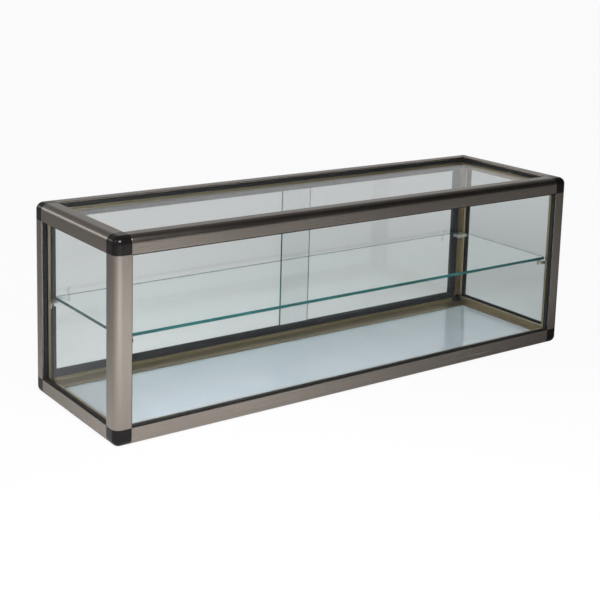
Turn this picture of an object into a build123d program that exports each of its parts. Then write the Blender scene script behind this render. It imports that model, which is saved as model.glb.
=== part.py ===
from build123d import *
import os

# Countertop ambient display case: a frame of rounded aluminium extrusions joined by plastic corners,
# glazed on the front, sides and top, with two glass doors sliding at the rear and one glass shelf.
# Millimetres. X runs to the right, Y to the rear, Z up. The origin is the middle of the case's base.
# Every "depth" is measured inwards from the nearest outer face of the case.

# Overall size of the case
case_width = 900.0
case_depth = 268.0
case_height = 306.0

# Frame extrusion
flange = 26.5
flange_edge = 3.2
wall = 1.6
tube = 16.6
outer_radius = 11.5
hook = 2.6
door_lip_reach = 21.5
rear_ledge_reach = 48.0

# Plastic corners
spigot_length = 22.0
spigot_clearance = 0.15

# Glazing
pane_thickness = 4.0
gasket_outer_leg = 4.3
gasket_inner_leg = 1.1
gasket_web = 0.9
gasket_seat_gap = 0.3
gasket_reveal = 2.6
gasket_chamfer = 0.6

# Deck board
deck_thickness = 12.7
deck_edge_gap = 0.6

# Sliding doors and their tracks
door_thickness = 4.0
door_running_gap = 0.4
track_wall = 1.2
track_seat_gap = 0.1
track_reveal = 4.5
lower_channel_depth = 5.0
upper_grip = 7.0
door_edge_inset = 20.0
door_foot_gap = 0.2
left_door_right_edge = 523.0
right_door_left_edge = 459.0
door_corner_radius = 2.0

# Ground finger pulls in the doors
pull_width = 6.0
pull_height = 28.0
pull_sink = 1.2
pull_inset = 57.0
pull_centre_height = 149.0

# Shelf
shelf_thickness = 5.0
shelf_underside = 152.2
shelf_left_inset = 24.0
shelf_right_inset = 19.0
shelf_front_inset = 25.0
shelf_rear_inset = 23.5
shelf_corner_radius = 3.0
shelf_rest_gap = 0.1

# Shelf clips with their bumpers and clamp screws
clip_thickness = 5.2
clip_reach = 39.0
clip_near_edge = 20.0
clip_far_edge = 38.0
clip_corner_radius = 4.0
clip_fit = 0.15
clip_hook_drop = 8.0
clip_hook_thickness = 4.4
bumper_radius = 4.5
bumper_height = 1.2
bumper_inset = 8.0
screw_radius = 1.5
screw_clearance = 0.1
screw_head_radius = 2.8
screw_head_height = 1.8
screw_socket_radius = 1.2
screw_socket_depth = 1.0

# Sizes that follow from the ones above
pane_front = flange_edge + gasket_outer_leg
pane_back = pane_front + pane_thickness
inner_fin = pane_back + gasket_inner_leg
gasket_edge = tube + gasket_seat_gap
pane_edge = gasket_edge + gasket_web
gasket_end = flange + gasket_reveal
lip = tube - wall
track_near = wall + track_seat_gap
channel_width = door_thickness + 2 * door_running_gap
channel_pitch = channel_width + track_wall
track_far = track_near + 2 * channel_pitch + track_wall
track_base = tube + track_seat_gap
track_end = flange + track_reveal
upper_channel_floor = track_base + track_wall
lower_channel_floor = track_end - lower_channel_depth
door_foot = lower_channel_floor + door_foot_gap
door_head = case_height - track_end + upper_grip
clip_top = shelf_underside - bumper_height - shelf_rest_gap
clip_bottom = clip_top - clip_thickness
clip_hook_bottom = clip_bottom - clip_hook_drop
hook_near = tube + clip_fit
hook_far = flange - wall - clip_fit
hook_face = inner_fin + wall + clip_fit


def slab(x0, x1, y0, y1, z0, z1):
    # A box between distances from the left, front and bottom faces of the case.
    middle = Pos((x0 + x1 - case_width) / 2, (y0 + y1 - case_depth) / 2, (z0 + z1) / 2)
    return middle * Box(x1 - x0, y1 - y0, z1 - z0)


def patch(a0, a1, b0, b1):
    # A rectangle of an extrusion's section, between two depths from each outer face.
    return Pos((a0 + a1) / 2, (b0 + b1) / 2) * Rectangle(a1 - a0, b1 - b0)


def rounded_patch(near, far, radius):
    # A square of the section whose corner next to the outer corner is rounded.
    square = patch(near, far, near, far)
    corner = patch(near, near + radius, near, near + radius)
    return square - (corner - Pos(near + radius, near + radius) * Circle(radius))


def extrusion_section(a_fin, a_reach, b_fin, b_reach):
    # The extrusion's section: a tube in the rounded corner, two outer flanges and two inner fins.
    # Next to a glass pane the flange's edge is thicker and the fin ends in a small hook. Over a board
    # or a track both are plain.
    section = rounded_patch(0, tube, outer_radius)
    section -= rounded_patch(wall, tube - wall, outer_radius - wall)
    section += patch(0, wall, outer_radius, flange) + patch(outer_radius, flange, 0, wall)
    section += patch(a_fin, a_fin + wall, tube - wall, a_reach)
    section += patch(tube - wall, b_reach, b_fin, b_fin + wall)
    if a_fin == inner_fin:
        section += patch(0, flange_edge, flange - wall, flange)
        section += patch(a_fin, a_fin + wall + hook, a_reach - wall, a_reach)
    if b_fin == inner_fin:
        section += patch(flange - wall, flange, 0, flange_edge)
        section += patch(b_reach - wall, b_reach, b_fin, b_fin + wall + hook)
    return section


def spigot_section():
    # The corner's spigot, which fills the extrusion's tube.
    near = wall + spigot_clearance
    return rounded_patch(near, tube - near, outer_radius - near)


def across(section, length, start):
    # A piece along X at the front bottom edge, from a distance from the left face.
    place = Plane(
        origin=(start - case_width / 2, -case_depth / 2, 0), x_dir=(0, 1, 0), z_dir=(1, 0, 0)
    )
    return extrude(place * section, length)


def along(section, length, start):
    # A piece along Y at the left bottom edge, from a distance from the front face.
    place = Plane(
        origin=(-case_width / 2, start + length - case_depth / 2, 0), x_dir=(1, 0, 0), z_dir=(0, -1, 0)
    )
    return extrude(place * section, length)


def upright(section, length, start):
    # A piece along Z at the front left edge, from a height above the base.
    return extrude(Pos(-case_width / 2, -case_depth / 2, start) * section, length)


def mirrored(piece, right=False, rear=False, top=False):
    # The same piece at another side of the case.
    if right:
        piece = mirror(piece, Plane.YZ)
    if rear:
        piece = mirror(piece, Plane.XZ)
    if top:
        piece = mirror(piece, Plane.XY.offset(case_height / 2))
    return piece


def corner_name(right, rear, top):
    level = "top" if top else "bottom"
    return f"{level}_{'rear' if rear else 'front'}_{'right' if right else 'left'}"


def rails():
    # The eight horizontal extrusions. Glass stands in the narrow grooves, the deck board lies under
    # a lip of the bottom ones, and the rear ones hold the door tracks.
    cross_length = case_width - 2 * flange
    side_length = case_depth - 2 * flange
    glazed = extrusion_section(inner_fin, flange, inner_fin, flange)
    floor = extrusion_section(inner_fin, flange, lip, flange)
    rear_top = extrusion_section(lip, door_lip_reach, inner_fin, flange)
    rear_bottom = extrusion_section(lip, door_lip_reach, lip, rear_ledge_reach)
    return {
        "top_front_rail": mirrored(across(glazed, cross_length, flange), top=True),
        "top_rear_rail": mirrored(across(rear_top, cross_length, flange), rear=True, top=True),
        "top_left_rail": mirrored(along(glazed, side_length, flange), top=True),
        "top_right_rail": mirrored(along(glazed, side_length, flange), right=True, top=True),
        "bottom_front_rail": across(floor, cross_length, flange),
        "bottom_rear_rail": mirrored(across(rear_bottom, cross_length, flange), rear=True),
        "bottom_left_rail": along(floor, side_length, flange),
        "bottom_right_rail": mirrored(along(floor, side_length, flange), right=True),
    }


def posts():
    # The four uprights. The side glass stands in a narrow groove of each, and the rear ones take
    # a door jamb in their wide groove.
    length = case_height - 2 * flange
    front_post = upright(extrusion_section(inner_fin, flange, inner_fin, flange), length, flange)
    rear_section = extrusion_section(inner_fin, flange, lip, door_lip_reach)
    rear_post = mirrored(upright(rear_section, length, flange), rear=True)
    return {
        "front_left_post": front_post,
        "front_right_post": mirrored(front_post, right=True),
        "rear_left_post": rear_post,
        "rear_right_post": mirrored(rear_post, right=True),
    }


def corner_connector():
    # A three-way plastic corner: a rounded knuckle as wide as the extrusions, with a spigot into
    # each of the three tubes that meet there.
    knuckle = Box(flange, flange, flange, align=(Align.MIN, Align.MIN, Align.MIN))
    outer_edges = [
        edge for edge in knuckle.edges() if sum(abs(value) < 1e-6 for value in edge.center()) == 2
    ]
    knuckle = fillet(outer_edges, outer_radius)
    arms = Box(flange, tube, tube, align=(Align.MIN, Align.MIN, Align.MIN))
    arms += Box(tube, flange, tube, align=(Align.MIN, Align.MIN, Align.MIN))
    arms += Box(tube, tube, flange, align=(Align.MIN, Align.MIN, Align.MIN))
    arms += Box(flange, flange, wall, align=(Align.MIN, Align.MIN, Align.MIN))
    arms += Box(flange, wall, flange, align=(Align.MIN, Align.MIN, Align.MIN))
    arms += Box(wall, flange, flange, align=(Align.MIN, Align.MIN, Align.MIN))
    body = Pos(-case_width / 2, -case_depth / 2, 0) * (knuckle & arms)
    body += across(spigot_section(), spigot_length, flange)
    body += along(spigot_section(), spigot_length, flange)
    body += upright(spigot_section(), spigot_length, flange)
    return body


def corners():
    connector = corner_connector()
    nodes = {}
    for top in (False, True):
        for rear in (False, True):
            for right in (False, True):
                name = "corner_" + corner_name(right, rear, top)
                nodes[name] = mirrored(connector, right, rear, top)
    return nodes


def sheet(face, inset, near, far):
    # A flat sheet behind one face of the case, inset from the face's four edges.
    if face == "front":
        return slab(inset, case_width - inset, near, far, inset, case_height - inset)
    if face == "left":
        return slab(near, far, inset, case_depth - inset, inset, case_height - inset)
    return slab(
        inset, case_width - inset, inset, case_depth - inset, case_height - far, case_height - near
    )


def gasket(face):
    # The glazing gasket: a U round the pane's edge, whose outer leg shows beyond the flange and has
    # a chamfered edge. It is four lengths, two across the pane's ends and two between them.
    frame = sheet(face, gasket_edge, flange_edge, inner_fin)
    frame -= sheet(face, pane_edge, pane_front, pane_back)
    frame -= sheet(face, flange, pane_back, inner_fin)
    mouth = sheet(face, gasket_end, flange_edge, pane_front)
    frame -= mouth
    outwards = {"front": Axis((0, 0, 0), (0, -1, 0)), "left": Axis((0, 0, 0), (-1, 0, 0)), "top": Axis.Z}
    rim = [edge.center() for edge in mouth.faces().sort_by(outwards[face])[-1].edges()]
    lips = [edge for edge in frame.edges() if min((edge.center() - spot).length for spot in rim) < 1e-6]
    frame = chamfer(lips, gasket_chamfer)
    if face == "top":
        near_end = slab(0, case_width, 0, gasket_end, 0, case_height)
        far_end = slab(0, case_width, case_depth - gasket_end, case_depth, 0, case_height)
    else:
        near_end = slab(0, case_width, 0, case_depth, 0, gasket_end)
        far_end = slab(0, case_width, 0, case_depth, case_height - gasket_end, case_height)
    lengths = (frame & near_end).solids() + (frame & far_end).solids()
    lengths += (frame - near_end - far_end).solids()
    return Compound(children=list(lengths))


def glazing():
    nodes = {}
    for face in ("front", "left", "top"):
        nodes[face + "_glass"] = sheet(face, pane_edge, pane_front, pane_back)
        nodes[face + "_gasket"] = gasket(face)
    nodes["right_glass"] = mirrored(nodes["left_glass"], right=True)
    nodes["right_gasket"] = mirrored(nodes["left_gasket"], right=True)
    return nodes


def deck_board():
    edge = tube + deck_edge_gap
    return slab(edge, case_width - edge, edge, case_depth - edge, wall, wall + deck_thickness)


def track_section(channel_floor):
    # A plastic double channel, its mouths at track_end, with a hollow under a raised floor.
    section = patch(track_near, track_far, track_base, track_end)
    for channel in range(2):
        near = track_near + track_wall + channel * channel_pitch
        section -= patch(near, near + channel_width, channel_floor, track_end)
        if channel_floor > track_base + 2 * track_wall:
            hollow_top = channel_floor - track_wall
            section -= patch(near, near + channel_width, track_base + track_wall, hollow_top)
    return section


def door_surround():
    # The lower and upper tracks run the whole width, and the jambs stand between them.
    track_length = case_width - 2 * track_base
    lower = across(track_section(lower_channel_floor), track_length, track_base)
    upper = across(track_section(upper_channel_floor), track_length, track_base)
    jamb_section = mirror(track_section(upper_channel_floor), Plane(origin=(0, 0, 0), z_dir=(1, -1, 0)))
    jamb = upright(jamb_section, case_height - 2 * track_end, track_end)
    return {
        "lower_door_track": mirrored(lower, rear=True),
        "upper_door_track": mirrored(upper, rear=True, top=True),
        "left_door_jamb": mirrored(jamb, rear=True),
        "right_door_jamb": mirrored(jamb, right=True, rear=True),
    }


def glass_door(left_edge, right_edge, channel, pull_x):
    # A frameless glass pane with a ground finger pull in its rear face.
    rear_face = case_depth - track_near - track_wall - door_running_gap - channel * channel_pitch
    front_face = rear_face - door_thickness
    pane = slab(left_edge, right_edge, front_face, rear_face, door_foot, door_head)
    pane = fillet(pane.edges().filter_by(Axis.Y), door_corner_radius)
    pull_place = Plane(
        origin=(pull_x - case_width / 2, rear_face - case_depth / 2, pull_centre_height),
        x_dir=(0, 0, 1),
        z_dir=(0, 1, 0),
    )
    pull_outline = SlotOverall(pull_height, pull_width)
    return pane - extrude(pull_place * pull_outline, -pull_sink)


def doors():
    right_edge = case_width - door_edge_inset
    right_pull = case_width - pull_inset
    return {
        "left_door": glass_door(door_edge_inset, left_door_right_edge, 0, pull_inset),
        "right_door": glass_door(right_door_left_edge, right_edge, 1, right_pull),
    }


def shelf():
    pane = slab(
        shelf_left_inset,
        case_width - shelf_right_inset,
        shelf_front_inset,
        case_depth - shelf_rear_inset,
        shelf_underside,
        shelf_underside + shelf_thickness,
    )
    return fillet(pane.edges().filter_by(Axis.Z), shelf_corner_radius)


def clip_screw_place():
    # The clamp screw's axis, pointing into the case from the post's fin.
    x = inner_fin + wall - case_width / 2
    y = (hook_near + hook_far - case_depth) / 2
    z = clip_bottom - clip_hook_drop / 2
    return Plane(origin=(x, y, z), x_dir=(0, 1, 0), z_dir=(1, 0, 0))


def shelf_clip():
    # A cast clip: its foot stands behind the hook of the post's fin, and its plate carries the shelf.
    plate = slab(hook_face, clip_reach, clip_near_edge, clip_far_edge, clip_bottom, clip_top)
    keep_hook_clear = slab(0, inner_fin + wall + hook + clip_fit, hook_far, case_depth, 0, case_height)
    plate -= keep_hook_clear
    inner_corners = plate.edges().filter_by(Axis.Z).group_by(Axis.X)[-1]
    plate = fillet(inner_corners, clip_corner_radius)
    foot_face = hook_face + clip_hook_thickness
    foot = slab(hook_face, foot_face, hook_near, hook_far, clip_hook_bottom, clip_top)
    bore = Cylinder(screw_radius + screw_clearance, 4 * clip_hook_thickness)
    return plate + foot - clip_screw_place() * bore


def clamp_screw():
    # A socket-headed screw through the clip's foot, its tip against the post's fin.
    shank_length = clip_fit + clip_hook_thickness
    align = (Align.CENTER, Align.CENTER, Align.MIN)
    screw = Cylinder(screw_radius, shank_length, align=align)
    screw += Pos(0, 0, shank_length) * Cylinder(screw_head_radius, screw_head_height, align=align)
    socket_floor = shank_length + screw_head_height - screw_socket_depth
    socket = extrude(RegularPolygon(screw_socket_radius, 6), screw_socket_depth)
    return clip_screw_place() * (screw - Pos(0, 0, socket_floor) * socket)


def bumper():
    # A clear bumper on the clip's plate, under the shelf.
    x = clip_reach - bumper_inset - case_width / 2
    y = clip_far_edge - bumper_inset - case_depth / 2
    return Pos(x, y, clip_top + bumper_height / 2) * Cylinder(bumper_radius, bumper_height)


def shelf_fittings():
    nodes = {}
    screws = []
    bumpers = []
    for rear in (False, True):
        for right in (False, True):
            name = f"shelf_clip_{'rear' if rear else 'front'}_{'right' if right else 'left'}"
            nodes[name] = mirrored(shelf_clip(), right, rear)
            screws.append(mirrored(clamp_screw(), right, rear))
            bumpers.append(mirrored(bumper(), right, rear))
    nodes["clip_screws"] = Compound(children=screws)
    nodes["shelf_bumpers"] = Compound(children=bumpers)
    return nodes


def build_case():
    nodes = {}
    nodes.update(rails())
    nodes.update(posts())
    nodes.update(corners())
    nodes.update(glazing())
    nodes["deck_board"] = deck_board()
    nodes.update(door_surround())
    nodes.update(doors())
    nodes["shelf"] = shelf()
    nodes.update(shelf_fittings())
    return nodes


os.makedirs("parts", exist_ok=True)
for node_name, node_shape in build_case().items():
    export_step(node_shape, f"parts/{node_name}.step")
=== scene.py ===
import bmesh
import bpy
import math
from mathutils import Matrix, Vector


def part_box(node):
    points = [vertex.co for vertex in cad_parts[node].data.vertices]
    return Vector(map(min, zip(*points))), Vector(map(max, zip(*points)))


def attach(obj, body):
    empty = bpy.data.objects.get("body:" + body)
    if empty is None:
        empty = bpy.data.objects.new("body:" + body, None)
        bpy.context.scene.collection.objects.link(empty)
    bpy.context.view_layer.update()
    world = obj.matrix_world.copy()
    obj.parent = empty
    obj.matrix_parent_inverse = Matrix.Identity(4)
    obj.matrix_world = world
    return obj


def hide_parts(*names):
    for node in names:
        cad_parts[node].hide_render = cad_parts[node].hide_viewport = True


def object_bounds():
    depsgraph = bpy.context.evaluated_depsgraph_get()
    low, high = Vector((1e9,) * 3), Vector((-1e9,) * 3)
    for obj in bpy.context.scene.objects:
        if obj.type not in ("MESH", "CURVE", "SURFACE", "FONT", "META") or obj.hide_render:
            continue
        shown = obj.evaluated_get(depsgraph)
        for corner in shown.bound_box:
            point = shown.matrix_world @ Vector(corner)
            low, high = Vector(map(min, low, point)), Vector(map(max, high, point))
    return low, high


# Looks of the countertop display case. Metres, in the frame's own axes: X to the right, Y to the
# rear, Z up. Every "depth" is measured inwards from the nearest outer face of the case.

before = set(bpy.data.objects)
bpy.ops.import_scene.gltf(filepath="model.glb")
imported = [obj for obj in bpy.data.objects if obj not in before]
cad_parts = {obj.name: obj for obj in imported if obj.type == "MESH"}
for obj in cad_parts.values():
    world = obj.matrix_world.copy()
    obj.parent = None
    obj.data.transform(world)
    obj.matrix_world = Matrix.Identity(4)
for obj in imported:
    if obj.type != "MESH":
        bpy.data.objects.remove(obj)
cad_low, cad_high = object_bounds()

MM = 0.001
X = Vector((1, 0, 0))
Y = Vector((0, 1, 0))
Z = Vector((0, 0, 1))
ALONG_X, ALONG_Y, ALONG_Z = range(3)

# Sizes that the frame gives
post_low, post_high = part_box("front_left_post")
front_glass_low, front_glass_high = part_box("front_glass")
gasket_low, gasket_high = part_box("front_gasket")
track_low, track_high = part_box("lower_door_track")
ledge_low, ledge_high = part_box("bottom_rear_rail")
clip_low, clip_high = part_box("shelf_clip_front_left")

CASE_WIDTH = cad_high.x - cad_low.x
CASE_DEPTH = cad_high.y - cad_low.y
CASE_HEIGHT = cad_high.z - cad_low.z
FLANGE = post_high.x - post_low.x
LEDGE = ledge_high.y - ledge_low.y
PANE_FRONT = front_glass_low.y - cad_low.y
PANE_BACK = front_glass_high.y - cad_low.y
PANE_EDGE = front_glass_low.x - cad_low.x
GASKET_EDGE = gasket_low.x - cad_low.x
FLANGE_EDGE = gasket_low.y - cad_low.y
INNER_FIN = gasket_high.y - cad_low.y
TRACK_NEAR = cad_high.y - track_high.y
TRACK_FAR = cad_high.y - track_low.y
TRACK_BASE = track_low.z
TRACK_END = track_high.z

# Sizes inside a node, which its box doesn't give
WALL = 1.6 * MM
TUBE = 16.6 * MM
OUTER_RADIUS = 11.5 * MM
HOOK = 2.6 * MM
DOOR_LIP = 21.5 * MM
GASKET_REVEAL = 2.6 * MM
GASKET_CHAMFER = 0.6 * MM
TRACK_WALL = 1.2 * MM
LOWER_CHANNEL = 5.0 * MM
DOOR_CORNER = 2.0 * MM
SHELF_CORNER = 3.0 * MM
CLIP_FIT = 0.15 * MM
CLIP_PLATE = 5.2 * MM
CLIP_FOOT = 4.4 * MM
CLIP_NEAR_EDGE = 20.0 * MM
CLIP_FOOT_FACE = INNER_FIN + WALL + CLIP_FIT + CLIP_FOOT
CLIP_FOOT_FAR = FLANGE - WALL - CLIP_FIT
CLIP_HOOK_CLEAR = INNER_FIN + WALL + HOOK + CLIP_FIT
CLIP_CORNER = 4.0 * MM
SCREW_HEIGHT = (clip_low.z + clip_high.z - CLIP_PLATE) / 2
SCREW_RADIUS = 1.5 * MM
BORE_GAP = 0.1 * MM
SCREW_HEAD_RADIUS = 2.8 * MM
SCREW_HEAD_HEIGHT = 1.8 * MM
SCREW_SOCKET_RADIUS = 1.2 * MM
SCREW_SOCKET_DEPTH = 1.0 * MM
BUMPER_RADIUS = 4.5 * MM
BUMPER_HEIGHT = 1.2 * MM
BUMPER_INSET = 8.0 * MM
PULL_INSET = 57.0 * MM
PULL_CENTRE = 149.0 * MM
PULL_WIDTH = 6.0 * MM
PULL_HEIGHT = 28.0 * MM
PULL_SINK = 1.2 * MM

# Fine edges and smooth rounds
EDGE_ROUND = 0.3 * MM
CORNER_EDGE_ROUND = 0.35 * MM
TRACK_EDGE_ROUND = 0.25 * MM
BOARD_CHAMFER = 0.8 * MM
PULL_EDGE_ROUND = 0.4 * MM
CLIP_EDGE_ROUND = 0.6 * MM
SCREW_EDGE_ROUND = 0.15 * MM
BUMPER_EDGE_ROUND = 0.8 * MM
PANE_ARRIS = 0.5 * MM
SHELF_ARRIS = 0.8 * MM
ROUND_STEPS = 14
SMOOTH_ANGLE = math.radians(35)
SHARP_ANGLE = math.radians(40)
ARRIS_ANGLE = math.radians(60)

# The third finish of a door is its ground pull
GROUND_SLOT = 2

# Working tolerances: equal places, merged points, and how far a cutter runs past what it cuts
TOUCH = 0.02 * MM
MERGE = 0.003 * MM
BEYOND = 1 * MM

# Camera, fitted to the edges of the frame in the photograph
PHOTO_SIZE = 600
FOCAL_PIXELS = 1225.4
HORIZON_ROW = 155.1
SENSOR = 36.0
CAMERA_PLACE = Vector((-1.2045, -1.5865, 0.7189))
CAMERA_AZIMUTH = math.radians(36.159)
CAMERA_DIP = math.radians(10.191)
CAMERA_ROLL = math.radians(1.646)


def set_camera():
    ahead = Vector((
        math.sin(CAMERA_AZIMUTH) * math.cos(CAMERA_DIP),
        math.cos(CAMERA_AZIMUTH) * math.cos(CAMERA_DIP),
        -math.sin(CAMERA_DIP),
    ))
    level = ahead.cross(Z).normalized()
    upward = level.cross(ahead)
    right = level * math.cos(CAMERA_ROLL) + upward * math.sin(CAMERA_ROLL)
    up = upward * math.cos(CAMERA_ROLL) - level * math.sin(CAMERA_ROLL)
    camera = bpy.data.objects.new("camera", bpy.data.cameras.new("camera"))
    bpy.context.scene.collection.objects.link(camera)
    turn = Matrix((right, up, -ahead)).transposed().to_4x4()
    camera.matrix_world = Matrix.Translation(CAMERA_PLACE) @ turn
    camera.data.sensor_width = SENSOR
    camera.data.lens = FOCAL_PIXELS / PHOTO_SIZE * SENSOR
    camera.data.shift_y = (HORIZON_ROW - PHOTO_SIZE / 2) / PHOTO_SIZE
    camera.data.clip_start = 0.05
    camera.data.clip_end = 60
    bpy.context.scene.camera = camera


# Shading

class Wire:
    """A shader socket that takes part in sums and products."""

    def __init__(self, finish, socket):
        self.finish = finish
        self.socket = socket

    def maths(self, operation, first, second):
        return self.finish.node("ShaderNodeMath", {"operation": operation}, [first, second])

    def __add__(self, other):
        return self.maths("ADD", self, other)

    def __sub__(self, other):
        return self.maths("SUBTRACT", self, other)

    def __rsub__(self, other):
        return self.maths("SUBTRACT", other, self)

    def __mul__(self, other):
        return self.maths("MULTIPLY", self, other)

    __radd__ = __add__
    __rmul__ = __mul__


class Finish:
    """A node tree under construction, of a material or the world."""

    def __init__(self, owner):
        self.owner = owner
        owner.use_nodes = True
        self.tree = owner.node_tree
        self.tree.nodes.clear()

    def node(self, kind, settings=None, sockets=None, output=0):
        """Adds a node with settings, and the values or links of its sockets by name or order."""
        made = self.tree.nodes.new(kind)
        for key, value in (settings or {}).items():
            if key == "stops":
                ramp = made.color_ramp
                while len(ramp.elements) < len(value):
                    ramp.elements.new(0.5)
                for element, (place, level) in zip(ramp.elements, value):
                    element.position = place
                    element.color = (level, level, level, 1)
            else:
                setattr(made, key, value)
        pairs = sockets.items() if isinstance(sockets, dict) else enumerate(sockets or [])
        for key, value in pairs:
            if isinstance(value, Wire):
                self.tree.links.new(value.socket, made.inputs[key])
            elif made.inputs[key].type == "RGBA":
                made.inputs[key].default_value = (*value, 1)
            else:
                made.inputs[key].default_value = value
        return Wire(self, made.outputs[output]) if made.outputs else None

    def noise(self, cycles, detail=2.0, roughness=0.5):
        """Noise on Object coordinates, with so many cycles a metre along each axis."""
        place = self.node("ShaderNodeTexCoord", output="Object")
        spot = self.node("ShaderNodeMapping", sockets={"Vector": place, "Scale": cycles})
        values = {"Vector": spot, "Scale": 1.0, "Detail": detail, "Roughness": roughness}
        return self.node("ShaderNodeTexNoise", sockets=values)

    def ramp(self, value, start, end, low, high):
        """Takes the range from start to end onto the levels low to high."""
        limits = {"Value": value, "From Min": start, "From Max": end, "To Min": low, "To Max": high}
        return self.node("ShaderNodeMapRange", sockets=limits)

    def spread(self, value, low, high):
        """Stretches a noise's usual range onto two levels, so that its full contrast shows."""
        return self.ramp(value, 0.3, 0.7, low, high)

    def patch_of_shade(self, centre, reach):
        """One at a point of the floor, falling to zero at a distance along X and one along Y."""
        place = self.node("ShaderNodeTexCoord", output="Object")
        scale = (1 / reach[0], 1 / reach[1], 1)
        shift = (-centre[0] / reach[0], -centre[1] / reach[1], 0)
        sockets = {"Vector": place, "Scale": scale, "Location": shift}
        spot = self.node("ShaderNodeMapping", sockets=sockets)
        return self.node("ShaderNodeTexGradient", {"gradient_type": "SPHERICAL"}, [spot], output=1)

    def between(self, share, first, second):
        settings = {"data_type": "RGBA", "clamp_factor": True}
        return self.node("ShaderNodeMix", settings, {0: share, 6: first, 7: second}, output=2)

    def bump(self, height, depth, strength):
        sockets = {"Height": height, "Distance": depth, "Strength": strength}
        return self.node("ShaderNodeBump", sockets=sockets)

    def principled(self, **sockets):
        """The Principled shader. Underscores in the names stand for spaces."""
        named = {key.replace("_", " "): value for key, value in sockets.items()}
        return self.node("ShaderNodeBsdfPrincipled", sockets=named)

    def ray(self, kind):
        return self.node("ShaderNodeLightPath", output=f"Is {kind} Ray")

    def mixed(self, share, first, second):
        return self.node("ShaderNodeMixShader", sockets=[share, first, second])

    def done(self, shader, output="ShaderNodeOutputMaterial"):
        self.node(output, sockets={"Surface": shader})
        return self.owner


def new_finish(name):
    return Finish(bpy.data.materials.new(name))


def cycles_along(run, along, across):
    """Noise cycles a metre: few along an extrusion's run and many across it."""
    cycles = [across] * 3
    cycles[run] = along
    return cycles


def anodised_aluminium(run):
    """Bronze anodised aluminium with faint die lines along the extrusion's run."""
    finish = new_finish("anodised_bronze_" + "xyz"[run])
    fine_lines = finish.noise(cycles_along(run, 3.0, 2400.0), detail=3.0, roughness=0.6)
    broad_lines = finish.noise(cycles_along(run, 1.5, 420.0), detail=2.0)
    clouds = finish.noise(cycles_along(run, 7.0, 60.0), detail=3.0)
    tone = finish.spread(fine_lines * 0.45 + broad_lines * 0.15 + clouds * 0.40, 0.0, 1.0)
    return finish.done(finish.principled(
        Base_Color=finish.between(tone, (0.285, 0.251, 0.221), (0.345, 0.306, 0.271)),
        Metallic=1.0,
        Roughness=finish.spread(broad_lines * 0.3 + clouds * 0.7, 0.23, 0.30),
        Normal=finish.bump(fine_lines, 0.012 * MM, 0.5),
    ))


def inner_faces_painted_reflection(run):
    """Painted warm reflection on an extrusion's inner faces: its anodised metal made golden, with
    stronger die lines.
    """
    finish = new_finish("golden_inner_face_" + "xyz"[run])
    lines = finish.noise(cycles_along(run, 2.0, 700.0), detail=3.0)
    tone = finish.spread(lines, 0.0, 1.0)
    return finish.done(finish.principled(
        Base_Color=finish.between(tone, (0.26, 0.21, 0.13), (0.48, 0.41, 0.28)),
        Metallic=1.0,
        Roughness=finish.spread(lines, 0.28, 0.40),
        Normal=finish.bump(lines, 0.03 * MM, 0.5),
    ))


def moulded_black_plastic():
    """Glossy black plastic with the slight ripple of a moulding."""
    finish = new_finish("moulded_black_plastic")
    ripple = finish.noise((70, 70, 70))
    dust = finish.noise((1100, 1100, 1100), detail=3.0)
    return finish.done(finish.principled(
        Base_Color=finish.between(ripple, (0.006, 0.005, 0.005), (0.013, 0.010, 0.010)),
        Roughness=finish.spread(dust, 0.12, 0.20),
        Specular_IOR_Level=0.22,
        Normal=finish.bump(ripple, 0.12 * MM, 0.4),
    ))


def gasket_rubber():
    finish = new_finish("black_gasket_rubber")
    grain = finish.noise((700, 700, 700), detail=3.0)
    return finish.done(finish.principled(
        Base_Color=finish.between(grain, (0.010, 0.010, 0.011), (0.024, 0.023, 0.024)),
        Roughness=finish.spread(grain, 0.48, 0.66),
        Normal=finish.bump(grain, 0.04 * MM, 0.5),
    ))


def track_plastic(run):
    """Black extruded plastic with fine drawing lines along its run."""
    finish = new_finish("black_track_plastic_" + "xyz"[run])
    lines = finish.noise(cycles_along(run, 4.0, 1500.0))
    return finish.done(finish.principled(
        Base_Color=finish.between(lines, (0.010, 0.010, 0.012), (0.024, 0.024, 0.027)),
        Roughness=finish.spread(lines, 0.32, 0.46),
        Specular_IOR_Level=0.25,
        Normal=finish.bump(lines, 0.02 * MM, 0.4),
    ))


def float_glass(name, tint, faint_tint, index=1.5):
    """Clear float glass with the slightest cloud in its tint. Lamps shine through it."""
    finish = new_finish(name)
    cloud = finish.noise((5, 5, 5))
    body = finish.principled(
        Base_Color=finish.between(cloud, tint, faint_tint), Roughness=0.0, IOR=index,
        Transmission_Weight=1.0,
    )
    passed = finish.node("ShaderNodeBsdfTransparent", sockets={"Color": tint})
    return finish.done(finish.mixed(finish.ray("Shadow"), body, passed))


def polished_glass_edge():
    """A pane's polished edge, teal with the length of glass behind it."""
    finish = new_finish("polished_glass_edge")
    tone = finish.spread(finish.noise((9, 9, 9), detail=3.0), 0.0, 1.0)
    fine = finish.noise((600, 600, 600))
    return finish.done(finish.principled(
        Base_Color=finish.between(tone, (0.001, 0.062, 0.060), (0.007, 0.130, 0.124)),
        Roughness=finish.spread(fine, 0.06, 0.14),
        Specular_IOR_Level=0.3,
    ))


def ground_glass():
    """The ground surface of a finger pull."""
    finish = new_finish("ground_glass")
    grain = finish.noise((1500, 1500, 1500), detail=3.0)
    return finish.done(finish.principled(
        Base_Color=finish.between(grain, (0.88, 0.90, 0.89), (0.97, 0.98, 0.97)),
        Roughness=0.6,
        Normal=finish.bump(grain, 0.05 * MM, 0.6),
    ))


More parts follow.
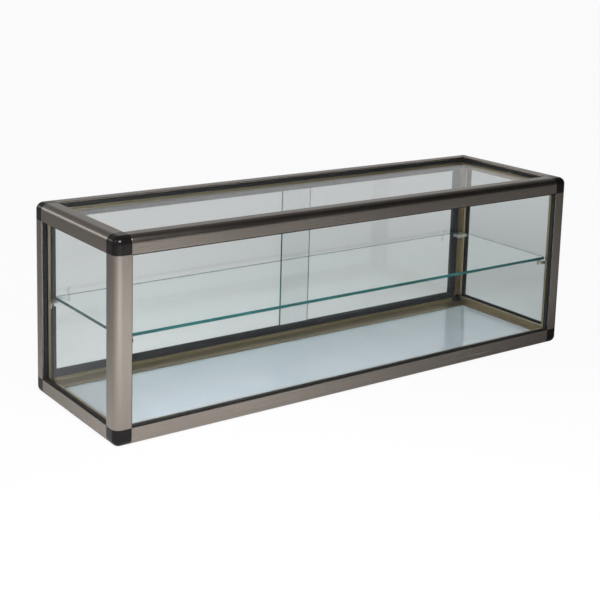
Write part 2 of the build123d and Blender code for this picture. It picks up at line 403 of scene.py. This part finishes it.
def white_laminate():
    """Glossy white laminate with a cool cast and a little orange peel."""
    finish = new_finish("white_laminate")
    cloud = finish.noise((14, 14, 14), detail=3.0)
    peel = finish.noise((260, 260, 260))
    return finish.done(finish.principled(
        Base_Color=finish.between(cloud, (0.450, 0.480, 0.520), (0.520, 0.550, 0.590)),
        Roughness=finish.spread(cloud, 0.06, 0.12),
        Normal=finish.bump(peel, 0.02 * MM, 0.2),
    ))


def board_core():
    """The bare core of the deck board at its edges."""
    finish = new_finish("board_core")
    chips = finish.noise((350, 350, 350), detail=4.0, roughness=0.7)
    tone = finish.spread(chips, 0.0, 1.0)
    return finish.done(finish.principled(
        Base_Color=finish.between(tone, (0.20, 0.14, 0.09), (0.42, 0.32, 0.22)),
        Roughness=0.8,
        Normal=finish.bump(chips, 0.3 * MM, 0.6),
    ))


def plated_metal():
    finish = new_finish("bright_plated_metal")
    haze = finish.noise((500, 500, 500), detail=3.0)
    return finish.done(finish.principled(
        Base_Color=finish.between(haze, (0.76, 0.75, 0.73), (0.90, 0.89, 0.87)),
        Metallic=1.0,
        Roughness=finish.spread(haze, 0.26, 0.38),
        Normal=finish.bump(haze, 0.04 * MM, 0.3),
    ))


def screw_steel():
    finish = new_finish("dark_screw_steel")
    haze = finish.noise((900, 900, 900))
    return finish.done(finish.principled(
        Base_Color=finish.between(haze, (0.20, 0.20, 0.20), (0.38, 0.38, 0.38)),
        Metallic=1.0,
        Roughness=finish.spread(haze, 0.22, 0.34),
    ))


def clear_rubber():
    finish = new_finish("clear_bumper_rubber")
    cloud = finish.noise((300, 300, 300))
    return finish.done(finish.principled(
        Base_Color=finish.between(cloud, (0.78, 0.82, 0.82), (0.90, 0.93, 0.93)),
        Roughness=0.25,
        IOR=1.42,
        Transmission_Weight=0.7,
    ))


# Ways of working on a mesh

def deselect_objects():
    bpy.ops.object.select_all(action="DESELECT")


def make_active(piece):
    deselect_objects()
    piece.select_set(True)
    bpy.context.view_layer.objects.active = piece


def settled(name):
    """Names the new primitive and puts its place in its mesh."""
    bpy.ops.object.transform_apply(location=True, rotation=True, scale=True)
    piece = bpy.context.active_object
    piece.name = name
    return piece


def block(name, low, high):
    """A cube primitive stretched between two corners."""
    deselect_objects()
    low = Vector(low)
    high = Vector(high)
    bpy.ops.mesh.primitive_cube_add(size=1, location=(low + high) / 2, scale=high - low)
    return settled(name)


def rod(name, radius, low_z, high_z, sides):
    """A cylinder primitive on the Z axis."""
    deselect_objects()
    middle = (0, 0, (low_z + high_z) / 2)
    bpy.ops.mesh.primitive_cylinder_add(
        vertices=sides, radius=radius, depth=high_z - low_z, location=middle
    )
    return settled(name)


def edit(piece):
    make_active(piece)
    bpy.ops.object.mode_set(mode="EDIT")


def leave():
    bpy.ops.object.mode_set(mode="OBJECT")


def choose_faces(piece, test):
    """In edit mode, selects the faces whose middle and normal pass a test."""
    bpy.ops.mesh.select_mode(type="FACE")
    bpy.ops.mesh.select_all(action="DESELECT")
    mesh = bmesh.from_edit_mesh(piece.data)
    for face in mesh.faces:
        face.select_set(test(face.calc_center_median(), face.normal))
    bmesh.update_edit_mesh(piece.data)


def choose_edges(piece, test):
    """In edit mode, selects the edges whose middle and direction pass a test."""
    bpy.ops.mesh.select_mode(type="EDGE")
    bpy.ops.mesh.select_all(action="DESELECT")
    mesh = bmesh.from_edit_mesh(piece.data)
    for edge in mesh.edges:
        start, end = (corner.co for corner in edge.verts)
        edge.select_set(test((start + end) / 2, (end - start).normalized()))
    bmesh.update_edit_mesh(piece.data)


def cut(point, normal, clear=False):
    """In edit mode, cuts the whole mesh with a plane, and may drop and close what is beyond."""
    bpy.ops.mesh.select_all(action="SELECT")
    bpy.ops.mesh.bisect(plane_co=point, plane_no=normal, use_fill=clear, clear_outer=clear)


def pull(offset):
    bpy.ops.mesh.extrude_region_move(TRANSFORM_OT_translate={"value": offset})


def round_edges(offset, steps):
    bpy.ops.mesh.bevel(offset=offset, segments=steps, affect="EDGES")


def round_rim(offset, steps):
    """In edit mode, rounds the rim of the chosen faces."""
    bpy.ops.mesh.region_to_loop()
    round_edges(offset, steps)


def merge_points(piece):
    """Merges points that fine rounds have left on top of each other."""
    edit(piece)
    bpy.ops.mesh.select_all(action="SELECT")
    bpy.ops.mesh.remove_doubles(threshold=MERGE)
    leave()


def is_at(value, target):
    return abs(value - target) < TOUCH


def apply_modifier(piece, kind, **settings):
    make_active(piece)
    modifier = piece.modifiers.new(kind.lower(), kind)
    for key, value in settings.items():
        setattr(modifier, key, value)
    bpy.ops.object.modifier_apply(modifier=modifier.name)


def fine_edges(piece, width=EDGE_ROUND, steps=2):
    apply_modifier(
        piece, "BEVEL", width=width, segments=steps, limit_method="ANGLE", angle_limit=SHARP_ANGLE
    )


def carve(piece, cutter):
    apply_modifier(piece, "BOOLEAN", object=cutter, operation="DIFFERENCE", solver="EXACT")
    bpy.data.objects.remove(cutter)


def part_faces(piece, is_outer):
    """Gives the faces whose middle and normal pass a test the first finish, the rest the second."""
    for face in piece.data.polygons:
        face.material_index = 0 if is_outer(face.center, face.normal) else 1


def copied(piece, name):
    twin = piece.copy()
    twin.data = piece.data.copy()
    twin.name = name
    bpy.context.scene.collection.objects.link(twin)
    return twin


def placed(piece, matrix):
    """Moves the mesh itself, and turns its faces outwards again after a mirroring."""
    piece.data.transform(matrix)
    if matrix.to_3x3().determinant() < 0:
        edit(piece)
        bpy.ops.mesh.select_all(action="SELECT")
        bpy.ops.mesh.normals_make_consistent(inside=False)
        leave()
    return piece


def joined(pieces, name):
    deselect_objects()
    for piece in pieces:
        piece.select_set(True)
    bpy.context.view_layer.objects.active = pieces[0]
    bpy.ops.object.join()
    pieces[0].name = name
    return pieces[0]


def axes(x_image, y_image, z_image, origin):
    """The matrix that takes the X, Y and Z axes to three vectors and zero to a fourth."""
    return Matrix.Translation(origin) @ Matrix((x_image, y_image, z_image)).transposed().to_4x4()


def corner_point(right, rear, top):
    """A corner of the case's box, and the directions from it along the case's edges."""
    point = Vector((
        cad_high.x if right else cad_low.x,
        cad_high.y if rear else cad_low.y,
        cad_high.z if top else cad_low.z,
    ))
    return point, -X if right else X, -Y if rear else Y, -Z if top else Z


def dress(piece, node, body, material_slot, *finishes):
    """Puts a modelled piece in a node's place: smooth normals, body and finishes. Its slot is not
    used.
    """
    make_active(piece)
    bpy.ops.object.shade_smooth_by_angle(angle=SMOOTH_ANGLE)
    apply_modifier(piece, "WEIGHTED_NORMAL", keep_sharp=True)
    for finish in finishes:
        piece.data.materials.append(finish)
    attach(piece, body)
    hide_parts(node)


# Frame

def extrusion(name, first_fin, first_reach, second_fin, second_reach, length):
    """One extrusion along Z with its outer corner on the axis: a tube, two flanges and two fins.

    The first fin is parallel to the X = 0 face and the second to the Y = 0 face. Next to a pane
    the flange has a thicker edge and the fin ends in a hook.
    """
    piece = block(name, (0, 0, 0), (TUBE, TUBE, length))
    edit(piece)
    choose_edges(piece, lambda spot, way: is_at(spot.x, 0) and is_at(spot.y, 0))
    round_edges(OUTER_RADIUS, ROUND_STEPS)
    fins = (
        (0, 0, FLANGE, first_fin), (0, first_fin, first_reach, first_fin),
        (1, 0, FLANGE, second_fin), (1, second_fin, second_reach, second_fin),
    )
    for across, near, reach, fin in fins:
        away = 1 - across
        across_way, away_way = (X, Y)[across], (X, Y)[away]
        for depth in (near, near + WALL):
            if 0 < depth and not is_at(depth, TUBE):
                cut(across_way * depth, across_way)
        middle = near + WALL / 2
        choose_faces(piece, lambda spot, normal: (
            is_at(spot[away], TUBE) and normal[away] > 0.9 and abs(spot[across] - middle) < WALL / 2
        ))
        pull(away_way * (reach - TUBE))
        if is_at(fin, INNER_FIN):
            cut(away_way * (reach - WALL), away_way)
            choose_faces(piece, lambda spot, normal: (
                normal[across] > 0.9 and is_at(spot[across], near + WALL)
                and spot[away] > reach - WALL
            ))
            pull(across_way * (HOOK if near else FLANGE_EDGE - WALL))
    leave()
    fine_edges(piece)
    # The faces deep inside take the second finish, a painted warm reflection
    part_faces(piece, lambda spot, normal: min(spot.x, spot.y) <= FLANGE_EDGE + WALL)
    return piece


def build_frame(metal_and_reflection_finishes):
    """Twelve extrusions between the corners: eight rails and four posts."""
    # For each run: the anodised metal, and the painted warm reflection of the inner faces
    lip = TUBE - WALL
    glass_fin = (INNER_FIN, FLANGE)
    for rear in (False, True):
        for top in (False, True):
            name = f"{'top' if top else 'bottom'}_{'rear' if rear else 'front'}_rail"
            wall_fin = (lip, DOOR_LIP) if rear else glass_fin
            level_fin = glass_fin if top else (lip, LEDGE if rear else FLANGE)
            rail = extrusion("dressed_" + name, *wall_fin, *level_fin, CASE_WIDTH - 2 * FLANGE)
            corner, along_x, along_y, along_z = corner_point(False, rear, top)
            placed(rail, axes(along_y, along_z, along_x, corner + along_x * FLANGE))
            dress(rail, name, "case", "anodised_frame", *metal_and_reflection_finishes[ALONG_X])
    for right in (False, True):
        for top in (False, True):
            name = f"{'top' if top else 'bottom'}_{'right' if right else 'left'}_rail"
            level_fin = glass_fin if top else (lip, FLANGE)
            rail = extrusion("dressed_" + name, *glass_fin, *level_fin, CASE_DEPTH - 2 * FLANGE)
            corner, along_x, along_y, along_z = corner_point(right, False, top)
            placed(rail, axes(along_x, along_z, along_y, corner + along_y * FLANGE))
            dress(rail, name, "case", "anodised_frame", *metal_and_reflection_finishes[ALONG_Y])
        for rear in (False, True):
            name = f"{'rear' if rear else 'front'}_{'right' if right else 'left'}_post"
            wall_fin = (lip, DOOR_LIP) if rear else glass_fin
            post = extrusion("dressed_" + name, *glass_fin, *wall_fin, CASE_HEIGHT - 2 * FLANGE)
            corner, along_x, along_y, along_z = corner_point(right, rear, False)
            placed(post, axes(along_x, along_y, along_z, corner + along_z * FLANGE))
            dress(post, name, "case", "anodised_frame", *metal_and_reflection_finishes[ALONG_Z])


def knuckle():
    """A plastic corner with its outer point at the origin, open where panes and board come in."""
    piece = block("knuckle", (0, 0, 0), (FLANGE, FLANGE, FLANGE))
    edit(piece)
    choose_edges(piece, lambda spot, way: sum(is_at(value, 0) for value in spot) == 2)
    round_edges(OUTER_RADIUS, ROUND_STEPS)
    leave()
    for axis in range(3):
        low = [TUBE] * 3
        low[axis] = WALL
        carve(piece, block("pocket", low, [FLANGE + BEYOND] * 3))
    fine_edges(piece, CORNER_EDGE_ROUND)
    return piece


def build_corners(finish):
    pattern = knuckle()
    for top in (False, True):
        for rear in (False, True):
            for right in (False, True):
                level, end = "top" if top else "bottom", "rear" if rear else "front"
                name = f"corner_{level}_{end}_{'right' if right else 'left'}"
                corner, along_x, along_y, along_z = corner_point(right, rear, top)
                piece = copied(pattern, "dressed_" + name)
                placed(piece, axes(along_x, along_y, along_z, corner))
                dress(piece, name, "case", "corner_plastic", finish)
    bpy.data.objects.remove(pattern)


# Glazing

def gasket_strip(length):
    """A U-shaped strip along X: its web at Y = 0, its legs along Y, mitred at both ends."""
    outer_leg = FLANGE + GASKET_REVEAL - GASKET_EDGE
    inner_leg = FLANGE - GASKET_EDGE
    web = PANE_EDGE - GASKET_EDGE
    strip = block("strip", (0, 0, FLANGE_EDGE), (length, web, INNER_FIN))
    edit(strip)
    for depth in (PANE_FRONT, PANE_BACK):
        cut(Z * depth, Z)
    legs = (FLANGE_EDGE, PANE_FRONT, outer_leg), (PANE_BACK, INNER_FIN, inner_leg)
    for low, high, reach in legs:
        choose_faces(strip, lambda spot, normal: normal.y > 0.9 and low < spot.z < high)
        pull(Y * (reach - web))
    cut((0, 0, 0), Y - X, clear=True)
    cut((length, 0, 0), X + Y, clear=True)
    choose_edges(strip, lambda spot, way: (
        is_at(spot.y, outer_leg) and is_at(spot.z, FLANGE_EDGE) and abs(way.x) > 0.9
    ))
    round_edges(GASKET_CHAMFER, 3)
    leave()
    return strip


def gasket(name, corner, along, up, inwards, length, height):
    """Four mitred strips round a pane, given a corner of the case and three directions."""
    start = corner + (along + up) * GASKET_EDGE
    end = corner + along * (length - GASKET_EDGE) + up * (height - GASKET_EDGE)
    strip_length = length - 2 * GASKET_EDGE
    strip_height = height - 2 * GASKET_EDGE
    sides = (
        (start, along, up, strip_length), (end, -along, -up, strip_length),
        (start, up, along, strip_height), (end, -up, -along, strip_height),
    )
    strips = [
        placed(gasket_strip(extent), axes(run, across, inwards, origin))
        for origin, run, across, extent in sides
    ]
    return joined(strips, name)


def pane(node, thin_axis, corner_radius, arris):
    """A pane with ground arrises. Its broad faces take the first finish, its rim the second."""
    low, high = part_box(node)
    piece = block("dressed_" + node, low, high)
    if corner_radius:
        edit(piece)
        choose_edges(piece, lambda spot, way: abs(way[thin_axis]) > 0.9)
        round_edges(corner_radius, 6)
        leave()
    apply_modifier(
        piece, "BEVEL", width=arris, segments=1, limit_method="ANGLE", angle_limit=ARRIS_ANGLE
    )
    part_faces(piece, lambda spot, normal: abs(normal[thin_axis]) > 0.99)
    return piece


def build_glazing(glass, rim, rubber):
    front_left = corner_point(False, False, False)[0]
    front_right = corner_point(True, False, False)[0]
    top_left = corner_point(False, False, True)[0]
    openings = {
        "front": (front_left, X, Z, Y, CASE_WIDTH, CASE_HEIGHT),
        "left": (front_left, Y, Z, X, CASE_DEPTH, CASE_HEIGHT),
        "right": (front_right, Y, Z, -X, CASE_DEPTH, CASE_HEIGHT),
        "top": (top_left, X, Y, -Z, CASE_WIDTH, CASE_DEPTH),
    }
    for side, opening in openings.items():
        seal = gasket(f"dressed_{side}_gasket", *opening)
        dress(seal, side + "_gasket", "case", "glazing_gasket", rubber)
        thin_axis = ALONG_Z if side == "top" else ALONG_Y if side == "front" else ALONG_X
        piece = pane(side + "_glass", thin_axis, 0, PANE_ARRIS)
        dress(piece, side + "_glass", "case", "case_glass", glass, rim)


def build_deck(laminate, core):
    low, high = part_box("deck_board")
    board = block("dressed_deck_board", low, high)
    fine_edges(board, BOARD_CHAMFER, 1)
    part_faces(board, lambda spot, normal: abs(normal.z) > 0.99)
    dress(board, "deck_board", "case", "deck", laminate, core)


# Rear doors

def double_channel(name, length, channel_depth):
    """A black extruded track along Z: two open channels side by side, mouths towards +Y."""
    piece = block(name, (TRACK_NEAR, TRACK_BASE, 0), (TRACK_FAR, TRACK_END, length))
    channel = (TRACK_FAR - TRACK_NEAR - 3 * TRACK_WALL) / 2
    for number in range(2):
        near = TRACK_NEAR + TRACK_WALL + number * (channel + TRACK_WALL)
        carve(piece, block(
            "channel", (near, TRACK_END - channel_depth, -BEYOND),
            (near + channel, TRACK_END + BEYOND, length + BEYOND),
        ))
    fine_edges(piece, TRACK_EDGE_ROUND)
    return piece


def build_tracks(lengthwise, upright):
    deep = TRACK_END - TRACK_BASE - TRACK_WALL
    for top in (False, True):
        name = f"{'upper' if top else 'lower'}_door_track"
        corner, along_x, along_y, along_z = corner_point(False, True, top)
        run = CASE_WIDTH - 2 * TRACK_BASE
        track = double_channel("dressed_" + name, run, deep if top else LOWER_CHANNEL)
        placed(track, axes(along_y, along_z, along_x, corner + along_x * TRACK_BASE))
        dress(track, name, "case", "door_track", lengthwise)
    for right in (False, True):
        name = f"{'right' if right else 'left'}_door_jamb"
        corner, along_x, along_y, along_z = corner_point(right, True, False)
        jamb = double_channel("dressed_" + name, CASE_HEIGHT - 2 * TRACK_END, deep)
        placed(jamb, axes(along_y, along_x, along_z, corner + along_z * TRACK_END))
        dress(jamb, name, "case", "door_track", upright)


def grind_finger_pull(door, x, rear_face):
    """Grinds a shallow upright slot with round ends into a door's rear face."""
    slot = block(
        "slot", (x - PULL_WIDTH / 2, rear_face - PULL_SINK, PULL_CENTRE - PULL_HEIGHT / 2),
        (x + PULL_WIDTH / 2, rear_face + PULL_SINK, PULL_CENTRE + PULL_HEIGHT / 2),
    )
    edit(slot)
    choose_edges(slot, lambda spot, way: abs(way.y) > 0.9)
    round_edges(PULL_WIDTH / 2 - TOUCH, 10)
    leave()
    fine_edges(slot, PULL_EDGE_ROUND, 3)
    carve(door, slot)
    just_inside = 0.001 * MM
    for face in door.data.polygons:
        spot = face.center
        is_near = abs(spot.x - x) < PULL_WIDTH and abs(spot.z - PULL_CENTRE) < PULL_HEIGHT
        if is_near and rear_face - PULL_SINK - TOUCH < spot.y < rear_face - just_inside:
            face.material_index = GROUND_SLOT


def build_doors(glass, rim, ground):
    pulls = {"left_door": cad_low.x + PULL_INSET, "right_door": cad_high.x - PULL_INSET}
    for name, x in pulls.items():
        door = pane(name, ALONG_Y, DOOR_CORNER, PANE_ARRIS)
        rear_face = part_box(name)[1].y
        for finish in (glass, rim, ground):
            door.data.materials.append(finish)
        grind_finger_pull(door, x, rear_face)
        dress(door, name, name, "door_glass")


# Shelf

def clip_blank():
    """A cast clip at the front left post: a foot behind the fin's hook, a plate for the shelf."""
    corner = corner_point(False, False, False)[0]
    low = Vector((clip_low.x - corner.x, clip_low.y - corner.y, clip_low.z))
    reach = clip_high.x - corner.x
    far_edge = clip_high.y - corner.y
    piece = block("clip", low, (CLIP_FOOT_FACE, CLIP_FOOT_FAR, clip_high.z))
    plate_bottom = clip_high.z - CLIP_PLATE
    edit(piece)
    cut(Z * plate_bottom, Z)
    cut(Y * CLIP_NEAR_EDGE, Y)
    cut(X * CLIP_HOOK_CLEAR, X)
    choose_faces(piece, lambda spot, normal: (
        normal.x > 0.9 and spot.z > plate_bottom and spot.y > CLIP_NEAR_EDGE
    ))
    pull(X * (reach - CLIP_FOOT_FACE))
    choose_faces(piece, lambda spot, normal: (
        normal.y > 0.9 and spot.z > plate_bottom and spot.x > CLIP_HOOK_CLEAR
    ))
    pull(Y * (far_edge - CLIP_FOOT_FAR))
    choose_edges(piece, lambda spot, way: is_at(spot.x, reach) and abs(way.z) > 0.9)
    round_edges(CLIP_CORNER, 8)
    leave()
    bore_way = axes(Y, Z, X, Vector((0, (low.y + CLIP_FOOT_FAR) / 2, SCREW_HEIGHT)))
    bore = rod("bore", SCREW_RADIUS + BORE_GAP, low.x - BEYOND, CLIP_FOOT_FACE + BEYOND, 32)
    carve(piece, placed(bore, bore_way))
    fine_edges(piece, CLIP_EDGE_ROUND, 3)
    merge_points(piece)
    return piece


def screw_blank():
    """A socket-headed clamp screw along Z, its tip at zero."""
    shank = CLIP_FOOT_FACE - INNER_FIN - WALL
    top = shank + SCREW_HEAD_HEIGHT
    screw = rod("screw", SCREW_HEAD_RADIUS, shank, top, 32)
    edit(screw)
    choose_faces(screw, lambda spot, normal: normal.z < -0.9)
    bpy.ops.mesh.inset(thickness=SCREW_HEAD_RADIUS - SCREW_RADIUS)
    pull(Z * -shank)
    leave()
    carve(screw, rod("socket", SCREW_SOCKET_RADIUS, top - SCREW_SOCKET_DEPTH, top + BEYOND, 6))
    fine_edges(screw, SCREW_EDGE_ROUND)
    return screw


def bumper_blank():
    """A low clear dome on the clip's plate."""
    bumper = rod("bumper", BUMPER_RADIUS, clip_high.z, clip_high.z + BUMPER_HEIGHT, 40)
    edit(bumper)
    choose_faces(bumper, lambda spot, normal: normal.z > 0.9)
    round_rim(BUMPER_EDGE_ROUND, 4)
    leave()
    return bumper


def build_shelf(glass, rim, metal, steel, rubber):
    shelf = pane("shelf", ALONG_Z, SHELF_CORNER, SHELF_ARRIS)
    dress(shelf, "shelf", "shelf", "shelf_glass", glass, rim)
    clip = clip_blank()
    screw = screw_blank()
    bumper = bumper_blank()
    corner = corner_point(False, False, False)[0]
    screw_y = (clip_low.y - corner.y + CLIP_FOOT_FAR) / 2
    screw_place = Vector((INNER_FIN + WALL, screw_y, SCREW_HEIGHT))
    bumper_place = Vector((
        clip_high.x - corner.x - BUMPER_INSET, clip_high.y - corner.y - BUMPER_INSET, 0
    ))
    placed(screw, axes(Y, Z, X, screw_place))
    placed(bumper, Matrix.Translation(bumper_place))
    screws = []
    bumpers = []
    for rear in (False, True):
        for right in (False, True):
            name = f"shelf_clip_{'rear' if rear else 'front'}_{'right' if right else 'left'}"
            post_foot, *ways = corner_point(right, rear, False)
            place = axes(*ways, post_foot)
            dress(placed(copied(clip, "dressed_" + name), place), name, "case", "clip_metal", metal)
            screws.append(placed(copied(screw, "screw_copy"), place))
            bumpers.append(placed(copied(bumper, "bumper_copy"), place))
    dress(joined(screws, "dressed_clip_screws"), "clip_screws", "case", "screw_steel", steel)
    dress(joined(bumpers, "dressed_bumpers"), "shelf_bumpers", "case", "clear_bumper", rubber)
    for blank in (clip, screw, bumper):
        bpy.data.objects.remove(blank)


# Light and surroundings

def light_world():
    """A soft studio: pale round the horizon, darker overhead and to the front right.

    The camera sees it white, and pale grey through glass.
    """
    studio = Finish(bpy.data.worlds.new("studio"))
    bpy.context.scene.world = studio.owner
    direction = studio.node("ShaderNodeTexCoord", output="Generated")
    side, rear, height = (
        studio.node("ShaderNodeSeparateXYZ", sockets=[direction], output=axis) for axis in "XYZ"
    )
    overhead = {"stops": [(0.0, 0.52), (0.25, 0.50), (0.42, 0.27), (0.70, 0.14), (1.0, 0.10)]}
    level = studio.node("ShaderNodeValToRGB", overhead, [height])
    shade = studio.ramp(side, -0.2, 0.6, 0.0, 0.92) * studio.ramp(rear, 0.2, -0.3, 0.0, 1.0)
    around = studio.node("ShaderNodeBackground", sockets=[level, 1.0 - shade])
    white = studio.node("ShaderNodeBackground", sockets=[(1, 1, 1), 1.0])
    backdrop = studio.ramp(side, 0.3, 0.8, 0.90, 0.78)
    grey = studio.node("ShaderNodeBackground", sockets=[(1, 1, 1), backdrop])
    lit = studio.mixed(studio.ray("Transmission"), around, grey)
    studio.done(studio.mixed(studio.ray("Camera"), lit, white), "ShaderNodeOutputWorld")


def add_lamp(name, place, target, width, height, power):
    """A soft box that shows only in what it lights and in reflections."""
    light = bpy.data.lights.new(name, "AREA")
    light.shape = "RECTANGLE"
    light.size = width
    light.size_y = height
    light.energy = power
    holder = bpy.data.objects.new(name, light)
    bpy.context.scene.collection.objects.link(holder)
    holder.location = place
    holder.rotation_mode = "QUATERNION"
    holder.rotation_quaternion = (Vector(target) - Vector(place)).to_track_quat("-Z", "Y")
    holder.visible_camera = False
    holder.visible_transmission = False


def pale_floor():
    """White to the camera, pale grey through glass, and a lit floor for all other rays.

    Its colour has a painted shadow along the case's front foot at the right, and its glow through
    glass a painted shadow behind the case at the right.
    """
    finish = new_finish("pale_floor")
    grain = finish.noise((6, 6, 6))
    pale = finish.between(grain, (0.90, 0.90, 0.90), (0.94, 0.94, 0.94))
    # Painted shadow: the floor's colour darkens towards the case's front foot at the right
    foot_shade = finish.patch_of_shade((0.55, -0.14), (0.80, 0.25))
    rear_shade = finish.patch_of_shade((0.65, 0.30), (0.80, 0.80))
    body = finish.principled(
        Base_Color=finish.between(foot_shade * 0.9, pale, (0.22, 0.22, 0.22)),
        Roughness=0.7,
        Specular_IOR_Level=0.2,
    )
    glow = finish.node("ShaderNodeEmission", sockets={"Color": (1, 1, 1), "Strength": 1.0})
    # Painted shadow: the glow seen through glass is dimmer in a patch behind the case at the right
    share = finish.ray("Camera") * 0.95 + finish.ray("Transmission") * (0.54 - 0.22 * rear_shade)
    return finish.done(finish.mixed(share, body, glow))


def build_surroundings():
    deselect_objects()
    bpy.ops.mesh.primitive_plane_add(size=30, location=(0, 0, cad_low.z))
    floor = bpy.context.active_object
    floor.name = "floor"
    floor.data.materials.append(pale_floor())
    light_world()
    add_lamp("key_lamp", (-0.55, -0.85, 0.9), (-0.55, -0.85, 0), 0.5, 0.4, 16)
    add_lamp("left_lamp", (-2.0, -0.1, 1.5), (-0.45, 0, 0.2), 0.45, 1.1, 4.6)
    add_lamp("rear_left_strip", (-1.8, 2.7, 1.0), (-0.45, 0, 0.29), 1.6, 0.25, 3.1)


bpy.context.scene.view_settings.view_transform = "Standard"
set_camera()
# Each run has its anodised metal, and a painted warm reflection for the extrusions' inner faces
build_frame([(anodised_aluminium(run), inner_faces_painted_reflection(run)) for run in (ALONG_X, ALONG_Y, ALONG_Z)])
build_corners(moulded_black_plastic())
rim_finish = polished_glass_edge()
case_glass = float_glass(
    "case_float_glass", (0.845, 0.875, 0.878), (0.855, 0.885, 0.888), index=1.2
)
build_glazing(case_glass, rim_finish, gasket_rubber())
build_deck(white_laminate(), board_core())
build_tracks(track_plastic(ALONG_X), track_plastic(ALONG_Z))
door_glass = float_glass("door_float_glass", (0.925, 0.940, 0.940), (0.935, 0.950, 0.950))
build_doors(door_glass, rim_finish, ground_glass())
shelf_glass = float_glass("shelf_float_glass", (0.865, 0.915, 0.900), (0.875, 0.925, 0.910))
build_shelf(shelf_glass, rim_finish, plated_metal(), screw_steel(), clear_rubber())
build_surroundings()
